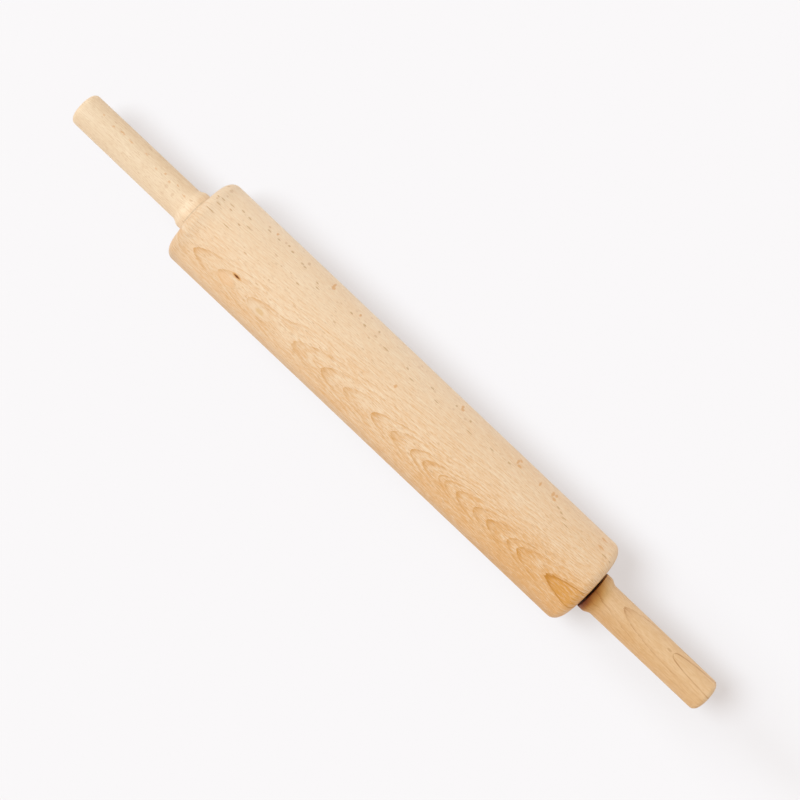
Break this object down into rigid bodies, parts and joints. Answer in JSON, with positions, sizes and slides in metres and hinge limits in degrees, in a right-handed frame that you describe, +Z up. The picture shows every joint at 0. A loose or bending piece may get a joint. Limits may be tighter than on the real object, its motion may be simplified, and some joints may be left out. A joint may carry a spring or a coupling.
{
  "type": "rolling pin",
  "caption": "Beech rolling pin: a cylinder with soft rounded ends turns on sealed ball bearings round a steel rod, with a straight collared handle pressed on each rod end.",
  "frame": {"origin": "on the surface that the roller rests on, straight below the pin's axis and midway between the two handle ends", "axes": "+X along the pin's axis, towards the end that is lower right in the picture; +Z up; +Y completes a right-handed frame and points to the upper right of the picture"},
  "size_m": [0.4784, 0.055, 0.055],
  "materials": {
    "roller_beech": "fine sanded, lightly oiled beech with short brown flecks and faint cathedral grain",
    "handle_beech": "fine sanded, lightly oiled beech",
    "rod_steel": "drawn stainless steel bar",
    "washer_nylon": "black nylon",
    "race_steel": "ground bearing steel",
    "ball_steel": "polished bearing steel",
    "cage_brass": "pressed brass",
    "seal_rubber": "black moulded rubber"
  },
  "bodies": {
    "handles": {"axle_rod": "rod_steel", "left_handle": "handle_beech", "right_handle": "handle_beech", "left_thrust_washer": "washer_nylon", "right_thrust_washer": "washer_nylon"},
    "inner_races": {"left_inner_race": "race_steel", "right_inner_race": "race_steel"},
    "roller": {"roller": "roller_beech", "left_outer_race": "race_steel", "right_outer_race": "race_steel", "left_outboard_seal": "seal_rubber", "left_inboard_seal": "seal_rubber", "right_outboard_seal": "seal_rubber", "right_inboard_seal": "seal_rubber"},
    "left_cage": {"left_ball_cage": "cage_brass", "left_ball_1": "ball_steel", "left_ball_2": "ball_steel", "left_ball_3": "ball_steel", "left_ball_4": "ball_steel", "left_ball_5": "ball_steel", "left_ball_6": "ball_steel", "left_ball_7": "ball_steel"},
    "right_cage": {"right_ball_cage": "cage_brass", "right_ball_1": "ball_steel", "right_ball_2": "ball_steel", "right_ball_3": "ball_steel", "right_ball_4": "ball_steel", "right_ball_5": "ball_steel", "right_ball_6": "ball_steel", "right_ball_7": "ball_steel"}
  },
  "joints": [
    {"name": "roller_float", "type": "slide", "parent": "handles", "child": "inner_races", "axis": [1, 0, 0], "range_m": [-0.0001, 0.0017]},
    {"name": "roller_spin", "type": "hinge", "parent": "inner_races", "child": "roller", "pos_m": [-0.0008, 0, 0.0275], "axis": [1, 0, 0], "continuous": true},
    {"name": "left_cage_spin", "type": "hinge", "parent": "inner_races", "child": "left_cage", "pos_m": [-0.14635, 0, 0.0275], "axis": [1, 0, 0], "continuous": true},
    {"name": "right_cage_spin", "type": "hinge", "parent": "inner_races", "child": "right_cage", "pos_m": [0.14475, 0, 0.0275], "axis": [1, 0, 0], "continuous": true}
  ],
  "couplings": [
    {"joint": "left_cage_spin", "follows": "roller_spin", "ratio": 0.63333},
    {"joint": "right_cage_spin", "follows": "roller_spin", "ratio": 0.63333}
  ]
}
